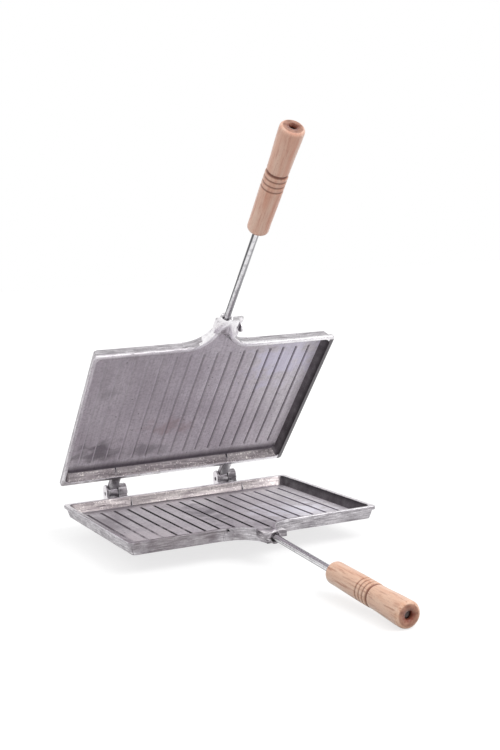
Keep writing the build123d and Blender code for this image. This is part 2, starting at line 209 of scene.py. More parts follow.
RAG_SIZE = 14.0               # mm, the lobes of a patch's ragged edge
RAG_REACH = 2.4               # how far they push it, as a share of the patch's radii
PATCH_CORE = 0.15             # share of the radii within which a patch is full


def patch(tree, at, middle, radii):
    """Share that is 1 in the middle of a ragged oval patch and fades out towards its radii.

    A middle and radii without a third number make a patch that is the same at every height.
    """
    ragged = add_node(tree, "ShaderNodeTexNoise", {"Vector": at, "Scale": 1 / RAG_SIZE, "Detail": 4.0})
    pushed = add_node(tree, "ShaderNodeVectorMath", {0: ragged.outputs["Color"], 1: (0.5, 0.5, 0.5)},
                      operation="SUBTRACT")
    scale = [1 / radius for radius in radii] + [0.0] * (3 - len(radii))
    middle = list(middle) + [0.0] * (3 - len(middle))
    oval = add_node(tree, "ShaderNodeMapping", {
        "Vector": at, "Scale": scale,
        "Location": [-place * by for place, by in zip(middle, scale)]})
    moved = add_node(tree, "ShaderNodeVectorMath", {
        0: pushed.outputs["Vector"], 1: [RAG_REACH if by else 0.0 for by in scale],
        2: oval.outputs["Vector"]}, operation="MULTIPLY_ADD")
    reach = add_node(tree, "ShaderNodeVectorMath", {0: moved.outputs["Vector"]}, operation="LENGTH")
    return add_node(tree, "ShaderNodeMapRange", {
        "Value": reach.outputs["Value"], "From Min": 1.0, "From Max": PATCH_CORE},
        interpolation_type="SMOOTHSTEP").outputs["Result"]


def finish_surface(tree, shader, colour, rough, reliefs, metallic=1.0):
    """Gives a shader its colour, its roughness and its relief.

    Roughness is a share of the surface and the two values it runs between. A relief is a share and
    the depth of its full step in mm, and each lies on the one before it.
    """
    share, smoothest, roughest = rough
    roughness = add_node(tree, "ShaderNodeMapRange", {
        "Value": share, "To Min": smoothest, "To Max": roughest}).outputs["Result"]
    under = {}
    for height, depth in reliefs:
        bump = add_node(tree, "ShaderNodeBump", {"Height": height, "Distance": depth * MM, **under})
        under = {"Normal": bump.outputs["Normal"]}
    tree.links.new(colour, shader.inputs["Base Color"])
    tree.links.new(roughness, shader.inputs["Roughness"])
    tree.links.new(bump.outputs["Normal"], shader.inputs["Normal"])
    shader.inputs["Metallic"].default_value = metallic


# ---- Tray finishes: every place and size in them is in mm on the shut press ----
RESIDUE_METALLIC = 0.62       # metal under a thin matt skin of oxide and burnt oil
CORNER_SHADE_AND_GRIME = (12.0, 3.0)    # foot of the hinge-side wall to where its painted shade and grime begin and are full
PIT_SPACING = 8.5


def shut_place(tree):
    """Place on a tray as the press lies shut, in mm from the middle of the parting plane."""
    return add_node(tree, "ShaderNodeAttribute", attribute_name="shut_place").outputs["Vector"]


def ground_rim(name, light, dark, darkening=(), darker_right_side=False):
    """Rim faces and lip ground flat on a belt: bright aluminium, finely scratched, greyer in its dips.

    It is darker in the given patches, and along its right side if it is given a darker right side.
    """
    material, tree, shader = start_material(name)
    at = shut_place(tree)
    colour = tinted(tree, light, grain(tree, at, 9.0), dark, 0.6)
    colour = tinted(tree, colour, grain(tree, at, 1.8, 0.5, 0.72), "#9d969d", 0.45)
    for middle, radii in darkening:
        colour = tinted(tree, colour, patch(tree, at, middle, radii), "#857c80", 0.8)
    if darker_right_side:
        apart = add_node(tree, "ShaderNodeSeparateXYZ", {"Vector": at}).outputs
        side = add_node(tree, "ShaderNodeMapRange", {
            "Value": apart["X"], "From Min": DARK_RIGHT_FROM - DARK_RIGHT_FADE,
            "From Max": DARK_RIGHT_FROM}).outputs["Result"]
        begins, full = DARK_RIGHT_CORNER
        back = add_node(tree, "ShaderNodeMapRange", {
            "Value": apart["Y"], "From Min": HANDLE_SIDE + begins,
            "From Max": HANDLE_SIDE + full}).outputs["Result"]
        both = add_node(tree, "ShaderNodeMath", {0: side, 1: back}, operation="MULTIPLY").outputs["Value"]
        colour = tinted(tree, colour, both, "#5d595c", 0.95)
    scratch = grain(tree, at, (26.0, 0.35, 5.0), 0.3, 0.7, 2.0)
    finish_surface(tree, shader, colour, (scratch, 0.26, 0.42), ((scratch, 0.02),))
    return material


def cast_floor(name, dark, light, strokes, stains_and_highlights, corner):
    """Pocket floor as cast and scoured lengthwise: mauve grey, blotched and stained, small pits, with
    painted highlights among its patches and painted shade with grime at the foot of the hinge-side wall.
    """
    material, tree, shader = start_material(name)
    at = shut_place(tree)
    colour = tinted(tree, dark, grain(tree, at, 42.0, 0.36, 0.64, 4.0), light)
    stroke = grain(tree, at, (1.5, 46.0, 8.0), 0.32, 0.7, 3.0)
    colour = tinted(tree, colour, stroke, strokes, 0.38)
    colour = tinted(tree, colour, grain(tree, at, 2.2, 0.42, 0.7, 3.0), "#8a838a", 0.35)
    # Stains, and the pale patches that are painted highlights
    for middle, radii, tint, strength in stains_and_highlights:
        colour = tinted(tree, colour, patch(tree, at, middle, radii), tint, strength)
    # Painted shade, with some grime, at the foot of the hinge-side wall
    towards_hinge = add_node(tree, "ShaderNodeSeparateXYZ", {"Vector": at}).outputs["Y"]
    begins, full = CORNER_SHADE_AND_GRIME
    darkening = add_node(tree, "ShaderNodeMapRange", {
        "Value": towards_hinge, "From Min": FLOOR_EDGE - begins,
        "From Max": FLOOR_EDGE - full}).outputs["Result"]
    colour = tinted(tree, colour, darkening, "#575058", corner)
    pits = add_node(tree, "ShaderNodeTexVoronoi", {
        "Vector": at, "Scale": 1 / PIT_SPACING, "Randomness": 1.0})
    pitted = add_node(tree, "ShaderNodeMapRange", {
        "Value": pits.outputs["Distance"], "From Min": 0.13, "From Max": 0.07}).outputs["Result"]
    some = add_node(tree, "ShaderNodeMath", {0: pitted, 1: grain(tree, at, 30.0, 0.52, 0.6)},
                    operation="MULTIPLY").outputs["Value"]
    colour = tinted(tree, colour, some, "#4f4950", 0.6)
    sand = grain(tree, at, 0.9, 0.3, 0.7, 2.0)
    finish_surface(tree, shader, colour, (stroke, 0.36, 0.52), ((sand, 0.05), (stroke, 0.05)),
                   RESIDUE_METALLIC)
    return material


def groove_residue_and_shade(name, stops, paler_patches=()):
    """Burnt-on residue in the floor grooves, nearly black, under painted reflected light and painted shade
    that change across the tray, and paler in the given patches.
    """
    material, tree, shader = start_material(name)
    at = shut_place(tree)
    # Painted reflected light and shade: the colour runs across the tray from stop to stop
    across = add_node(tree, "ShaderNodeSeparateXYZ", {"Vector": at}).outputs["X"]
    colour = stops[0][1]
    for (last, _), (place, tint) in zip(stops, stops[1:]):
        share = add_node(tree, "ShaderNodeMapRange", {
            "Value": across, "From Min": last, "From Max": place}).outputs["Result"]
        colour = tinted(tree, colour, share, tint)
    for middle, radii in paler_patches:
        colour = tinted(tree, colour, patch(tree, at, middle, radii), "#d8d1d6", 0.95)
    colour = tinted(tree, colour, grain(tree, at, (3.0, 9.0, 3.0), 0.45, 0.7), "#8d868e", 0.3)
    finish_surface(tree, shader, colour, (grain(tree, at, 2.0), 0.5, 0.7), ((grain(tree, at, 0.8), 0.04),))
    return material


def wall_with_painted_shade(name):
    """Side wall of the pocket as cast, painted grey-black with shade, and painted darkest with the rim's
    shade just under the rim.
    """
    material, tree, shader = start_material(name)
    at = shut_place(tree)
    colour = tinted(tree, "#645f63", grain(tree, at, 12.0), "#7e797d")
    colour = tinted(tree, colour, grain(tree, at, 1.4, 0.55, 0.75), "#a39da2", 0.5)
    # Painted shade of the rim, darkest just under it
    height = add_node(tree, "ShaderNodeSeparateXYZ", {"Vector": at}).outputs["Z"]
    deep = add_node(tree, "ShaderNodeMath", {0: height}, operation="ABSOLUTE").outputs["Value"]
    rim_shade = add_node(tree, "ShaderNodeMapRange", {
        "Value": deep, "From Min": 4.5, "From Max": 0.6}).outputs["Result"]
    colour = tinted(tree, colour, rim_shade, "#332f32", 0.75)
    finish_surface(tree, shader, colour, (grain(tree, at, 3.0), 0.5, 0.68), ((grain(tree, at, 1.0), 0.08),))
    return material


def dressed_wall(name, dark, light):
    """Hinge-side wall dressed with a file: warm pale grey, streaked lengthwise, bright specks."""
    material, tree, shader = start_material(name)
    at = shut_place(tree)
    colour = tinted(tree, dark, grain(tree, at, (22.0, 5.0, 5.0)), light)
    streak = grain(tree, at, (18.0, 1.3, 1.3), 0.35, 0.68, 4.0)
    colour = tinted(tree, colour, streak, "#7a7178", 0.55)
    colour = tinted(tree, colour, grain(tree, at, 2.6, 0.55, 0.68), "#6e666a", 0.5)
    colour = tinted(tree, colour, grain(tree, at, 1.8, 0.58, 0.7), "#f6f0ec", 0.75)
    finish_surface(tree, shader, colour, (streak, 0.34, 0.5), ((streak, 0.08),))
    return material


def cast_skin(name, dark, light, darkening, darkened=()):
    """Outside as it left the sand mould, cleaned by tumbling: grey, streaked level, bright on its grain."""
    material, tree, shader = start_material(name)
    at = shut_place(tree)
    colour = tinted(tree, dark, grain(tree, at, 16.0), light)
    colour = tinted(tree, colour, grain(tree, at, (15.0, 15.0, 1.5), 0.46, 0.7), "#4f494f", darkening)
    colour = tinted(tree, colour, grain(tree, at, (11.0, 11.0, 1.3), 0.52, 0.7), "#f0edf0", 0.7)
    colour = tinted(tree, colour, grain(tree, at, 1.6, 0.52, 0.7), "#6a6469", 0.4)
    # Painted shade in the given patches
    for middle, radii in darkened:
        colour = tinted(tree, colour, patch(tree, at, middle, radii), "#6d6367", 0.6)
    sand = grain(tree, at, 1.1, 0.3, 0.7)
    finish_surface(tree, shader, colour, (grain(tree, at, 4.0), 0.36, 0.54), ((sand, 0.09),))
    return material


def cast_back(name):
    """Flat back that stands on the stove: even sand-cast grey, faint heat clouds, brighter where rubbed."""
    material, tree, shader = start_material(name)
    at = shut_place(tree)
    colour = tinted(tree, "#a19b9f", grain(tree, at, 34.0, 0.38, 0.62), "#b4afb3")
    colour = tinted(tree, colour, grain(tree, at, (9.0, 26.0, 9.0), 0.5, 0.75), "#857e83", 0.35)
    colour = tinted(tree, colour, grain(tree, at, (1.2, 14.0, 1.2), 0.56, 0.74), "#d8d4d7", 0.4)
    colour = tinted(tree, colour, grain(tree, at, 1.1, 0.5, 0.75), "#7d777c", 0.3)
    sand = grain(tree, at, 1.1, 0.3, 0.7)
    finish_surface(tree, shader, colour, (grain(tree, at, 6.0), 0.4, 0.55), ((sand, 0.09),))
    return material


def worn_edge(name):
    """Edges rubbed bright by handling, dull again in short breaks."""
    material, tree, shader = start_material(name)
    at = shut_place(tree)
    colour = tinted(tree, "#dedbdf", grain(tree, at, 5.0, 0.5, 0.68), "#8f8990", 0.75)
    finish_surface(tree, shader, colour, (grain(tree, at, 3.0), 0.24, 0.42), ((grain(tree, at, 1.4), 0.05),))
    return material


# ---- Steel and wood ----
PAINTED_SHADE_FROM = (0.55, 0.8)    # share of the rod's radius where the painted shade of its dark side begins and is full
PAINTED_GREY_FADE = 0.25              # and over which its other side turns grey with painted shade


def drawn_steel(name, colour_hex, roughness, start=None, painted_dark_side=None, unshaded_core=0.0):
    """Bright drawn bar, faintly mottled.

    A rod, which has a start, has painted shade, dark along one side and grey along the other, and is
    scorched brown inside the end of its grip.
    """
    material, tree, shader = start_material(name)
    place = add_node(tree, "ShaderNodeTexCoord").outputs["Object"]
    at = add_node(tree, "ShaderNodeVectorMath", {0: place, 1: (1 / MM,) * 3},
                  operation="MULTIPLY").outputs["Vector"]
    mottle = grain(tree, at, 4.0, 0.45, 0.7)
    colour = tinted(tree, colour_hex, mottle, "#85838a", 0.4)
    if start is not None:
        out = add_node(tree, "ShaderNodeVectorMath", {0: at, 1: start},
                       operation="SUBTRACT").outputs["Vector"]
        across = add_node(tree, "ShaderNodeVectorMath", {0: out, 1: painted_dark_side},
                          operation="DOT_PRODUCT").outputs["Value"]
        # Painted shade: a dark edge along one side of the rod and a grey edge along the other
        begins, full = PAINTED_SHADE_FROM
        painted_dark_edge = add_node(tree, "ShaderNodeMapRange", {
            "Value": across, "From Min": begins * ROD_RADIUS,
            "From Max": full * ROD_RADIUS}).outputs["Result"]
        colour = tinted(tree, colour, painted_dark_edge, "#333235", 0.9)
        painted_grey_edge = add_node(tree, "ShaderNodeMapRange", {
            "Value": across, "From Min": -unshaded_core * ROD_RADIUS,
            "From Max": -(unshaded_core + PAINTED_GREY_FADE) * ROD_RADIUS}).outputs["Result"]
        colour = tinted(tree, colour, painted_grey_edge, "#6f6e72", 0.75)
        reach = add_node(tree, "ShaderNodeVectorMath", {0: out}, operation="LENGTH").outputs["Value"]
        begins, full = SCORCHED_END
        darkened = add_node(tree, "ShaderNodeMapRange", {
            "Value": reach, "From Min": ROD_EXPOSED + begins,
            "From Max": ROD_EXPOSED + full}).outputs["Result"]
        colour = tinted(tree, colour, darkened, "#3a2e2a", 0.95)
    finish_surface(tree, shader, colour, (mottle, roughness, 1.7 * roughness),
                   ((grain(tree, at, 1.2), 0.012),))
    return material


BURNT_HOLE = (7.6, 5.4)       # mm from the grip's axis, where the end face begins to burn and is burnt
BURN_WANDER = 3.0             # mm, by which the burnt edge is uneven


def turned_beech(name, pale, deep, streak_tint, streak_strength, knots=()):
    """Turned beech, oiled: pinkish with short ray flecks and long streaks, its grooves scorched brown.

    The end face is darker end grain, burnt round its hole.
    """
    material, tree, shader = start_material(name)
    at = add_node(tree, "ShaderNodeAttribute", attribute_name="turned_place").outputs["Vector"]
    groove = add_node(tree, "ShaderNodeAttribute", attribute_name="scorch").outputs["Fac"]
    end = add_node(tree, "ShaderNodeAttribute", attribute_name="end_grain").outputs["Fac"]
    colour = tinted(tree, pale, grain(tree, at, (7.0, 7.0, 60.0)), deep)
    streaks = grain(tree, at, (1.8, 1.8, 20.0), 0.52, 0.7, 4.0)
    colour = tinted(tree, colour, streaks, streak_tint, streak_strength)
    flecks = grain(tree, at, (0.5, 0.5, 2.6), 0.55, 0.72, 1.0)
    colour = tinted(tree, colour, flecks, streak_tint, 0.35)
    for spot, size in knots:
        colour = tinted(tree, colour, patch(tree, at, spot, size), "#7d4a38", 0.8)
    colour = tinted(tree, colour, groove, "#7a412c", 0.9)
    cut = tinted(tree, "#b5826c", grain(tree, at, (3.5, 3.5, 9.0)), "#8b5c49")
    apart = add_node(tree, "ShaderNodeSeparateXYZ", {"Vector": at}).outputs
    flat = add_node(tree, "ShaderNodeCombineXYZ", {"X": apart["X"], "Y": apart["Y"]}).outputs["Vector"]
    out = add_node(tree, "ShaderNodeVectorMath", {0: flat}, operation="LENGTH").outputs["Value"]
    uneven = add_node(tree, "ShaderNodeMath", {0: grain(tree, at, 2.5), 1: BURN_WANDER, 2: out},
                      operation="MULTIPLY_ADD").outputs["Value"]
    begins, full = BURNT_HOLE
    burnt = add_node(tree, "ShaderNodeMapRange", {
        "Value": uneven, "From Min": begins, "From Max": full}).outputs["Result"]
    cut = tinted(tree, cut, burnt, "#873f2a", 0.9)
    colour = tinted(tree, colour, end, cut)
    finish_surface(tree, shader, colour, (streaks, 0.42, 0.56), ((streaks, 0.06),), metallic=0.0)
    shader.inputs["Sheen Weight"].default_value = 0.35
    shader.inputs["Sheen Roughness"].default_value = 0.4
    return material


# ---- Trays: the CAD solids with their edges rounded, and each surface in its own finish ----
# The wall finish of the pocket's left-facing walls and the gap finish are painted shade; the bright rim
# finish is also put on the upper boss, the right half of the upper lip and the ears' outer left faces as a
# painted highlight
FINISHES = ("skin", "rim_and_highlight", "floor", "groove", "painted_shade_wall", "dressed", "edge", "lug", "gap", "back")


def shut_matrix(half):
    """From the frame at rest to the shut press, in mm from the middle of the parting plane."""
    swing = Matrix.Rotation(OPEN_ANGLE if half == "upper" else 0, 4, "X")
    hinge_shut = Matrix.Translation((0, HINGE_PLACE.y / MM, 0))
    return hinge_shut @ swing @ Matrix.Scale(1 / MM, 4) @ Matrix.Translation(-HINGE_PLACE)


def in_pocket(centre):
    """Whether a spot of the shut press lies within the rims."""
    return abs(centre.x) < TRAY_WIDTH / 2 - RIM_WIDTH and abs(centre.y) < TRAY_DEPTH / 2 - RIM_WIDTH


def hinge_finish(centre, normal, half):
    """Hinge lugs: painted shade between the ears and on the tongue's arm, and the bright rim finish as a
    painted highlight on an ear's outer left face.
    """
    off = min((centre.x - middle for middle in HINGE_MIDDLES), key=abs)
    if half == "upper":
        return "lug" if centre.y > BARREL_START else "gap"
    if abs(off) < EAR_INSIDE + NEAR:
        return "gap"
    # Painted highlight: the bright rim finish on an ear's outer left face
    return "rim_and_highlight" if off < 0 and normal.x < -FACING else "lug"


def tray_finish(centre, normal, half):
    """Which finish a face of a tray has, by its place and its normal on the shut press."""
    depth = abs(centre.z) - HALF_GAP
    inside = in_pocket(centre)
    level = abs(normal.z) > LEVEL
    if centre.y > HINGE_SIDE + PAST_LIP:
        return hinge_finish(centre, normal, half)
    if level and depth < NEAR:
        return "rim_and_highlight"
    if inside and level and abs(depth - FLOOR_DEPTH) < NEAR:
        return "floor"
    if inside and FLOOR_DEPTH + NEAR / 2 < depth < BACK_DEPTH - NEAR:
        return "groove"
    if inside and abs(normal.x) > UPRIGHT and centre.y > SLOT_START:
        return "groove"
    # Painted shade: the pocket's walls that face left get the dark wall finish
    if inside and normal.x < -0.5:
        return "painted_shade_wall"
    if inside and NEAR < depth < FLOOR_DEPTH:
        return "dressed"
    if level and depth > BACK_DEPTH - NEAR:
        return "back"
    # Painted highlight: the bright rim finish on the right half of the upper lip's front
    if half == "upper" and centre.x > 0 and normal.y < -FACING and depth < LIP_HEIGHT:
        return "rim_and_highlight"
    # The upper neck and boss get the bright rim finish as a painted highlight, and the claw's inner face
    # gets painted shade
    if half == "upper" and centre.y < HANDLE_SIDE - NECK_REACH:
        return "gap" if centre.x > CLAW_START and normal.x < -0.7 else "rim_and_highlight"
    if half == "lower" and centre.y < HANDLE_SIDE - BOSS_BEGINS:
        return "lug"
    return "skin"


def edge_finish(centre, half):
    """Rounded edges are worn bright, but those down in the pocket are like what lies beside them."""
    depth = abs(centre.z) - HALF_GAP
    if half == "upper":
        under_lip = abs(depth - LIP_HEIGHT) < 0.6
        # Painted shade on the edges of the tongue's arms, along the right side and under the lip
        if HINGE_SIDE + PAST_LIP < centre.y < BARREL_START:
            return "gap"
        if centre.x > DARK_RIGHT_FROM - DARK_RIGHT_FADE and centre.y > HANDLE_SIDE + DARK_RIGHT_EDGES:
            return "painted_shade_wall"
        if centre.y < HANDLE_SIDE + 1 and under_lip:
            return "gap"
    else:
        if centre.x < GATE_END and centre.y < -GATE_BAND:
            return "skin"
        if centre.y < HANDLE_SIDE - BOSS_BEGINS:
            return "lug"
    if not in_pocket(centre) or depth < FLOOR_DEPTH - POCKET_RIM:
        return "edge"
    off_groove = abs((centre.x / GROOVE_PITCH) % 1 - 0.5) * GROOVE_PITCH
    return "groove" if half == "lower" and off_groove < GROOVE_SHARE else "floor"


def drilled(centre):
    """Whether an edge was left sharp by a tool.

    Such edges are the boss's front, the rod's mouth and the cross pin's hole.
    """
    at_pin = centre.y < PIN_HOLE_START and abs(centre.x) < PIN_HOLE_REACH and abs(centre.z) > ROD_DROP
    return centre.y < BOSS_FRONT.y + FACED_FRONT or at_pin


def sorted_casting(half, finishes):
    """A copy of a tray's mesh with merged faces, each in its finish, and its edges marked to be rounded."""
    mesh = nodes[f"{half}_tray"].data.copy()
    mesh.name = f"{half}_casting"
    mesh.materials.clear()
    for finish in FINISHES:
        mesh.materials.append(finishes[finish])
    shell = bmesh.new()
    shell.from_mesh(mesh)
    bmesh.ops.remove_doubles(shell, verts=shell.verts, dist=1e-6)
    bmesh.ops.dissolve_limit(shell, angle_limit=radians(0.5), verts=shell.verts, edges=shell.edges)
    to_shut = shut_matrix(half)
    turn = to_shut.to_3x3().normalized()
    for face in shell.faces:
        face.material_index = FINISHES.index(
            tray_finish(to_shut @ face.calc_center_median(), turn @ face.normal, half))
        face.smooth = True
    rounded = shell.edges.layers.float.new("bevel_weight_edge")
    for edge in shell.edges:
        middle = to_shut @ ((edge.verts[0].co + edge.verts[1].co) / 2)
        if edge.is_manifold and edge.calc_face_angle() > ROUNDED_ANGLE and not drilled(middle):
            edge[rounded] = 1.0
    shell.to_mesh(mesh)
    shell.free()
    return mesh


def settle(piece):
    """Works a piece's modifiers into its mesh."""
    graph = bpy.context.evaluated_depsgraph_get()
    mesh = bpy.data.meshes.new_from_object(piece.evaluated_get(graph))
    piece.modifiers.clear()
    piece.data = mesh


def dressed_tray(half, finishes):
    """A tray with rounded edges, standing for its CAD node."""
    mesh = sorted_casting(half, finishes)
    piece = add_object(mesh.name, mesh)
    rounding = piece.modifiers.new("edges", "BEVEL")
    rounding.width = EDGE_ROUNDING * MM
    rounding.segments = 2
    rounding.limit_method = "WEIGHT"
    rounding.use_clamp_overlap = False
    rounding.harden_normals = True
    rounding.material = FINISHES.index("edge")
    settle(piece)
    to_shut = shut_matrix(half)
    for face in piece.data.polygons:
        if face.material_index == FINISHES.index("edge"):
            face.material_index = FINISHES.index(edge_finish(to_shut @ face.center, half))
    place = piece.data.attributes.new("shut_place", "FLOAT_VECTOR", "POINT")
    for vertex in piece.data.vertices:
        place.data[vertex.index].vector = to_shut @ vertex.co
    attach(piece, f"{half}_half")
    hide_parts(f"{half}_tray")


def dress(node, material):
    """Gives a CAD node its finish."""
    slots = nodes[node].data.materials
    slots.clear()
    slots.append(material)


# ---- Grips: one Geometry Nodes tree turns both ----
GRIP_SOCKETS = (
    ("Start", "NodeSocketVector", None), ("Direction", "NodeSocketVector", None),
    ("Length", "NodeSocketFloat", GRIP_LENGTH * MM),
    ("Root Radius", "NodeSocketFloat", 9.75 * MM), ("Bead Radius", "NodeSocketFloat", 10.2 * MM),
    ("Waist Radius", "NodeSocketFloat", 9.9 * MM), ("End Radius", "NodeSocketFloat", 11.0 * MM),
    ("Root Rounding", "NodeSocketFloat", 3.2 * MM), ("End Rounding", "NodeSocketFloat", 3.4 * MM),
    ("First Groove", "NodeSocketFloat", 0.44), ("Groove Step", "NodeSocketFloat", 0.047),
    ("Groove Depth", "NodeSocketFloat", 0.8 * MM), ("Groove Width", "NodeSocketFloat", 1.5 * MM),
    ("Deep Groove", "NodeSocketFloat", 0.582), ("Deep Groove Depth", "NodeSocketFloat", 1.5 * MM),
    ("Bore Radius", "NodeSocketFloat", 3.02 * MM), ("Recess Radius", "NodeSocketFloat", 3.75 * MM),
    ("Recess Depth", "NodeSocketFloat", 5.0 * MM), ("Wood", "NodeSocketMaterial", None),
)
GRIP_RINGS = 420              # rows of points along a grip, from its bore to the foot of its recess
GRIP_SIDES = 72               # points in a row, the last on the first
FINE_GROOVES = 3              # before the deep one
DEEP_GROOVE_SPREAD = 1.5      # its width, in widths of a fine one
SWELL = (0.05, 0.42)          # shares of the length between which the root part swells
FLARE_STOP = 0.97             # and where the end part is widest
STEP_BLEND = 0.004            # share of the length, each side of the deep groove, where the parts meet


def turned_grip_tree():
    """Rows of a grid wrapped round the rod: root face, turned length, end face, recess."""
    tree = bpy.data.node_groups.new("turned_grip", "GeometryNodeTree")
    sockets = tree.interface
    for name, kind, value in GRIP_SOCKETS:
        made = sockets.new_socket(name, in_out="INPUT", socket_type=kind)
        if value is not None:
            made.default_value = value
    sockets.new_socket("Geometry", in_out="OUTPUT", socket_type="NodeSocketGeometry")
    given = add_node(tree, "NodeGroupInput").outputs

    def calc(operation, *values):
        """One step of arithmetic on numbers and sockets."""
        return add_node(tree, "ShaderNodeMath", dict(enumerate(values)), operation=operation).outputs[0]

    def smooth(value, low, high, to_low=0.0, to_high=1.0):
        """Smooth step of a value between two levels."""
        return add_node(tree, "ShaderNodeMapRange", {
            "Value": value, "From Min": low, "From Max": high, "To Min": to_low, "To Max": to_high},
            interpolation_type="SMOOTHSTEP").outputs["Result"]

    # Each point's row and angle, and how far along the grip it is; rows lie closer near both ends.
    index = add_node(tree, "GeometryNodeInputIndex").outputs[0]
    row = calc("MODULO", index, GRIP_RINGS)
    side = calc("FLOOR", calc("DIVIDE", index, GRIP_RINGS))
    angle = calc("MULTIPLY", side, 2 * pi / (GRIP_SIDES - 1))
    last = GRIP_RINGS - 3                     # the rows after it are the end face and the recess
    even = calc("DIVIDE", calc("SUBTRACT", row, 1), last - 1)
    even = calc("MINIMUM", calc("MAXIMUM", even, 0.0), 1.0)
    eased = calc("MULTIPLY_ADD", calc("COSINE", calc("MULTIPLY", even, pi)), -0.5, 0.5)
    share = calc("MULTIPLY_ADD", eased, 0.5, calc("MULTIPLY", even, 0.5))
    along = calc("MULTIPLY", share, given["Length"])

    # The turned outline: a root part that swells and an end part that flares.
    swell = calc("SUBTRACT", given["Bead Radius"], given["Root Radius"])
    root_part = calc("ADD", given["Root Radius"], calc("MULTIPLY", smooth(share, *SWELL), swell))
    flare = calc("SUBTRACT", given["End Radius"], given["Waist Radius"])
    flared = smooth(share, given["Deep Groove"], FLARE_STOP)
    end_part = calc("ADD", given["Waist Radius"], calc("MULTIPLY", flared, flare))
    past = smooth(share, calc("SUBTRACT", given["Deep Groove"], STEP_BLEND),
                  calc("ADD", given["Deep Groove"], STEP_BLEND))
    body = calc("ADD", calc("MULTIPLY", root_part, calc("SUBTRACT", 1.0, past)),
                calc("MULTIPLY", end_part, past))

    # Ring grooves, scorched at their feet.
    scorch = 0.0
    for number in range(FINE_GROOVES + 1):
        if number < FINE_GROOVES:
            place = calc("MULTIPLY_ADD", given["Groove Step"], number, given["First Groove"])
            width = given["Groove Width"]
            depth = given["Groove Depth"]
            burn = 0.75
        else:
            place = given["Deep Groove"]
            width = calc("MULTIPLY", given["Groove Width"], DEEP_GROOVE_SPREAD)
            depth = given["Deep Groove Depth"]
            burn = 1.0
        off = calc("ABSOLUTE", calc("SUBTRACT", along, calc("MULTIPLY", place, given["Length"])))
        off = calc("DIVIDE", off, width)
        body = calc("SUBTRACT", body, calc("MULTIPLY", smooth(off, 0.0, 1.0, 1.0, 0.0), depth))
        scorch = calc("MAXIMUM", scorch, smooth(off, 0.25, 0.9, burn, 0.0))

    # Rounded shoulders at both ends.
    for rounding, inward in ((given["Root Rounding"], along),
                             (given["End Rounding"], calc("SUBTRACT", given["Length"], along))):
        short = calc("MAXIMUM", calc("SUBTRACT", 1.0, calc("DIVIDE", inward, rounding)), 0.0)
        drop = calc("SUBTRACT", 1.0, calc("SQRT", calc("SUBTRACT", 1.0, calc("MULTIPLY", short, short))))
        body = calc("SUBTRACT", body, calc("MULTIPLY", drop, rounding))

    def from_row(number, value, otherwise):
        """A value from that row on, another before it."""
        reached = add_node(tree, "FunctionNodeCompare", {0: row, 1: number - 0.5},
                           data_type="FLOAT", operation="GREATER_THAN").outputs[0]
        return add_node(tree, "GeometryNodeSwitch", {
            "Switch": reached, "False": otherwise, "True": value}, input_type="FLOAT").outputs[0]

    # The first row closes in on the bore, and the last ones are the end's recess.
    radius = from_row(1, body, given["Bore Radius"])
    radius = from_row(last + 1, given["Recess Radius"], radius)
    radius = from_row(GRIP_RINGS - 1, given["Recess Radius"], radius)
    along = from_row(GRIP_RINGS - 1, calc("SUBTRACT", given["Length"], given["Recess Depth"]), along)

    # Places round the rod's line.
    sideways = (1.0, 0.0, 0.0)
    upright = add_node(tree, "ShaderNodeVectorMath", {0: given["Direction"], 1: sideways},
                       operation="CROSS_PRODUCT").outputs["Vector"]
    across = calc("MULTIPLY", radius, calc("COSINE", angle))
    rise = calc("MULTIPLY", radius, calc("SINE", angle))
    spot = given["Start"]
    for direction, reach in ((given["Direction"], along), (sideways, across), (upright, rise)):
        spot = add_node(tree, "ShaderNodeVectorMath", {0: direction, 1: reach, 2: spot},
                        operation="MULTIPLY_ADD").outputs["Vector"]
    grid = add_node(tree, "GeometryNodeMeshGrid", {"Vertices X": GRIP_SIDES, "Vertices Y": GRIP_RINGS})
    turned = add_node(tree, "GeometryNodeSetPosition", {"Geometry": grid.outputs["Mesh"], "Position": spot})

    # What the wood's finish reads: the grip's own place in mm, scorched grooves and end grain.
    own = add_node(tree, "ShaderNodeCombineXYZ", {
        "X": calc("MULTIPLY", across, 1 / MM), "Y": calc("MULTIPLY", rise, 1 / MM),
        "Z": calc("MULTIPLY", along, 1 / MM)}).outputs["Vector"]
    cut = calc("MAXIMUM", smooth(row, last - 3, last), smooth(row, 2.0, 0.0))
    kept = turned.outputs["Geometry"]
    for name, kind, value in (("turned_place", "FLOAT_VECTOR", own), ("scorch", "FLOAT", scorch),
                              ("end_grain", "FLOAT", cut)):
        stored = add_node(tree, "GeometryNodeStoreNamedAttribute", {"Geometry": kept, "Name": name},
                          data_type=kind, domain="POINT")
        tree.links.new(value, stored.inputs["Value"])
        kept = stored.outputs["Geometry"]
    closed = add_node(tree, "GeometryNodeMergeByDistance", {"Geometry": kept, "Distance": 0.002 * MM})
    smoothed = add_node(tree, "GeometryNodeSetShadeSmooth", {"Geometry": closed.outputs["Geometry"]})
    real = add_node(tree, "GeometryNodeRealizeInstances", {"Geometry": smoothed.outputs["Geometry"]})
    wooden = add_node(tree, "GeometryNodeSetMaterial", {
        "Geometry": real.outputs["Geometry"], "Material": given["Wood"]})
    add_node(tree, "NodeGroupOutput", {"Geometry": wooden.outputs["Geometry"]})
    return tree


def rod_mouth(half):
    """Where a rod leaves its boss, mm, on the shut press."""
    side = -1 if half == "lower" else 1
    return BOSS_FRONT + Vector((0, 0, side * ROD_DROP))


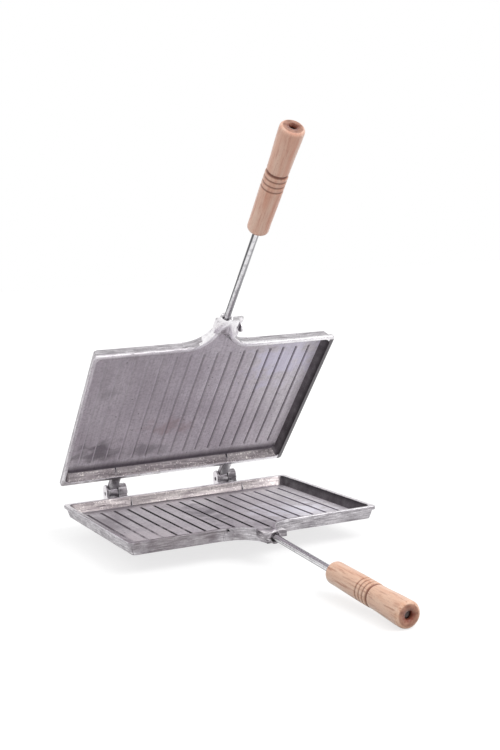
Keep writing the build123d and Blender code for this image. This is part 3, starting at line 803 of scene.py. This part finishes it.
def turned_grip(half, tree, wood):
    """One grip on its rod, standing for its CAD node."""
    side = -1 if half == "lower" else 1
    tilt = LOWER_ROD_TILT if half == "lower" else UPPER_ROD_TILT
    direction = Vector((0, -cos(tilt), side * sin(tilt)))
    to_rest = shut_matrix(half).inverted()
    piece = add_object(f"{half}_beech_grip", bpy.data.meshes.new(f"{half}_beech_grip"))
    modifier = piece.modifiers.new("turning", "NODES")
    modifier.node_group = tree
    named = {item.name: item.identifier for item in tree.interface.items_tree if item.in_out == "INPUT"}
    modifier[named["Start"]] = to_rest @ (rod_mouth(half) + direction * ROD_EXPOSED)
    modifier[named["Direction"]] = (to_rest.to_3x3() @ direction).normalized()
    modifier[named["Wood"]] = wood
    settle(piece)
    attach(piece, f"{half}_half")
    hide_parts(f"{half}_grip")


# ---- Studio ----
FLOOR_DROP = 1 * MM
FLOOR_SIZE = 6.0              # m, middle of the paper to its edge
FLOOR_GLOW = 0.7              # brings the lit paper up to white where it is seen
SOFT_LIGHT = 0.8              # strength of the surroundings on what isn't mirrored
KEY_TURN = radians(35)        # the key light stands in front, to the right
KEY_HEIGHT = radians(52)
KEY_SPREAD = radians(40)
KEY_STRENGTH = 1.2


def background_rays(tree):
    """1 on the rays that show the background: the camera's, and those that metal mirrors or glass passes."""
    path = add_node(tree, "ShaderNodeLightPath").outputs
    seen = path["Is Camera Ray"]
    for other in ("Is Glossy Ray", "Is Transmission Ray"):
        seen = add_node(tree, "ShaderNodeMath", {0: seen, 1: path[other]},
                        operation="MAXIMUM").outputs["Value"]
    return seen


def add_floor():
    """White paper just under the lowest point of the object; it shows white, and keeps the shadow."""
    low = cad_box[0][2] - FLOOR_DROP
    corners = [(x * FLOOR_SIZE, y * FLOOR_SIZE, low) for x, y in ((-1, -1), (1, -1), (1, 1), (-1, 1))]
    mesh = bpy.data.meshes.new("floor")
    mesh.from_pydata(corners, [], [(0, 1, 2, 3)])
    floor = add_object("floor", mesh)
    material, tree, shader = start_material("matt_white_paper")
    shader.inputs["Base Color"].default_value = linear("#a6a6a6")
    shader.inputs["Roughness"].default_value = 0.95
    shader.inputs["Specular IOR Level"].default_value = 0.0
    glow = add_node(tree, "ShaderNodeMath", {0: background_rays(tree), 1: FLOOR_GLOW}, operation="MULTIPLY")
    tree.links.new(glow.outputs["Value"], shader.inputs["Emission Strength"])
    shader.inputs["Emission Color"].default_value = linear("#ffffff")
    mesh.materials.append(material)


def add_world():
    """Even pale surroundings, plain white where they are seen or mirrored."""
    world = bpy.data.worlds.new("studio")
    world.use_nodes = True
    tree = world.node_tree
    tree.nodes.clear()
    soft = add_node(tree, "ShaderNodeBackground", {"Color": linear("#ffffff"), "Strength": SOFT_LIGHT})
    white = add_node(tree, "ShaderNodeBackground", {"Color": linear("#ffffff"), "Strength": 1.0})
    mixed = add_node(tree, "ShaderNodeMixShader", {
        0: background_rays(tree), 1: soft.outputs[0], 2: white.outputs[0]})
    add_node(tree, "ShaderNodeOutputWorld", {"Surface": mixed.outputs[0]})
    bpy.context.scene.world = world


def add_key_light():
    """A broad soft light from far off, so that the paper is lit evenly out to the horizon."""
    data = bpy.data.lights.new("key", "SUN")
    data.angle = KEY_SPREAD
    data.energy = KEY_STRENGTH
    lamp = add_object("key", data)
    lamp.matrix_world = Euler((radians(90) - KEY_HEIGHT, 0, KEY_TURN)).to_matrix().to_4x4()


# ---- Putting it together ----
add_camera()

# Middle and radii of a patch, its tint and its strength: stains, and two painted highlights
UPPER_STAINS_AND_HIGHLIGHTS = (
    ((-88, 60), (34, 22), "#6f6870", 0.7),
    ((-36, 66), (30, 14), "#817a82", 0.55),
    ((-96, -30), (14, 14), "#8f8a90", 0.4),
    ((-18, 30), (34, 18), "#b1999d", 0.5),
    # Painted highlight
    ((84, -60), (50, 50), "#e0dcf2", 0.6),
    ((0, -112), (9, 16), "#5f5a5f", 0.8),
)
LOWER_STAINS_AND_HIGHLIGHTS = (
    ((-8, 10), (18, 60), "#7d767f", 0.7),
    ((-100, 30), (20, 50), "#948c93", 0.5),
    # Painted highlight
    ((70, -30), (56, 60), "#f8f5ff", 0.9),
    ((20, -60), (20, 20), "#8d858e", 0.4),
    ((-84, -50), (50, 44), "#efe7ea", 0.6),
)
# Middle and radii of darker patches on the rims, at the gate side below and at the hinge side and throat
# above, and of painted shade on the lower skin under the lip at the gate side
LOWER_RIM_DARK_PATCHES = (((-70, -94), (90, 16)),)
# Painted shade on the lower tray's front wall under its lip
LOWER_SKIN_SHADE = (((-75, -98), (70, 16)),)
UPPER_RIM_DARK_PATCHES = (((-90, 96), (95, 9)), ((-1, -115), (6, 9)))
# Where the grooves are paler, and their colour across the tray from left to right: dark residue with painted
# reflected light and painted shade
LOWER_GROOVES_PALER = (((-92, -62), (60, 66)),)
LOWER_GROOVE_RESIDUE_AND_SHADE = ((-110.0, "#8d858c"), (-60.0, "#332e34"), (30.0, "#332e34"), (80.0, "#8a8290"))
UPPER_GROOVE_RESIDUE_AND_SHADE = ((-50.0, "#ddd7de"), (60.0, "#5d5761"))

shared = {
    # Painted shade: the dark finish of the pocket's left-facing walls, and the blackened finish between the
    # hinge's parts
    "painted_shade_wall": wall_with_painted_shade("pocket_wall_painted_shade"),
    "edge": worn_edge("worn_casting_edge"),
    "back": cast_back("sand_cast_back"),
    "lug": cast_skin("grimed_hinge_lug", "#8a8489", "#b4aeb3", 0.95),
    "gap": cast_skin("hinge_gap_painted_shade", "#49454a", "#69646a", 0.95),
}
dressed_tray("lower", {
    **shared,
    "rim_and_highlight": ground_rim("ground_rim_and_highlight_lower", "#f2eef1", "#bfb8be", LOWER_RIM_DARK_PATCHES),
    "skin": cast_skin("sand_cast_skin_lower", "#a39ea3", "#cac6ca", 0.55, LOWER_SKIN_SHADE),
    "dressed": dressed_wall("filed_wall_lower", "#a59c9d", "#cdc5c3"),
    "floor": cast_floor("scoured_floor_lower", "#dfd8de", "#f7f2f6", "#a8a1a9", LOWER_STAINS_AND_HIGHLIGHTS, 0.25),
    "groove": groove_residue_and_shade("groove_residue_and_shade_lower", LOWER_GROOVE_RESIDUE_AND_SHADE, LOWER_GROOVES_PALER),
})
dressed_tray("upper", {
    **shared,
    "rim_and_highlight": ground_rim("ground_rim_and_highlight_upper", "#fcfafc", "#dfdbdf", UPPER_RIM_DARK_PATCHES, darker_right_side=True),
    "skin": cast_skin("sand_cast_skin_upper", "#aaa5aa", "#d0ccd0", 0.6),
    "dressed": dressed_wall("filed_wall_upper", "#877f82", "#aca5a6"),
    "floor": cast_floor("scoured_floor_upper", "#d6cfd6", "#e6e0e6", "#aea7ae", UPPER_STAINS_AND_HIGHLIGHTS, 0.85),
    "groove": groove_residue_and_shade("groove_residue_and_shade_upper", UPPER_GROOVE_RESIDUE_AND_SHADE),
})

# The side of each rod painted dark with shade, and how wide its core stays free of painted shade
ROD_SHADED_SIDE = {"lower": Vector((-0.42, 0.06, -0.905)), "upper": Vector((-0.807, 0.426, 0.409))}
ROD_UNSHADED_CORE = {"lower": 0.72, "upper": 0.1}      # share of the radius where the painted grey shade on the rod's other side begins
pin_finish = drawn_steel("plain_pin_steel", "#6a686c", 0.3)
washer_finish = drawn_steel("scorched_washer_steel", "#6a4436", 0.4)
for half in ("lower", "upper"):
    mouth = shut_matrix(half).inverted() @ rod_mouth(half) / MM
    dress(f"{half}_rod", drawn_steel(f"drawn_bright_steel_{half}", "#e4e3e5", 0.16,
                                     mouth, ROD_SHADED_SIDE[half], ROD_UNSHADED_CORE[half]))
    dress(f"{half}_rod_pin", pin_finish)
    dress(f"{half}_end_washer", washer_finish)
dress("hinge_pin_left", pin_finish)
dress("hinge_pin_right", pin_finish)

KNOT = ((4.0, 8.0, 12.0), (2.6, 2.6, 4.0))       # its middle and radii, mm, on the grip
lathe = turned_grip_tree()
turned_grip("lower", lathe, turned_beech(
    "turned_beech_lower", "#fad7bf", "#e8b698", "#b57558", 0.7, (KNOT,)))
turned_grip("upper", lathe, turned_beech(
    "turned_beech_upper", "#ffd9c4", "#f0b399", "#cf8c76", 0.5))

add_floor()
add_world()
add_key_light()

bpy.context.scene.view_settings.view_transform = "Standard"
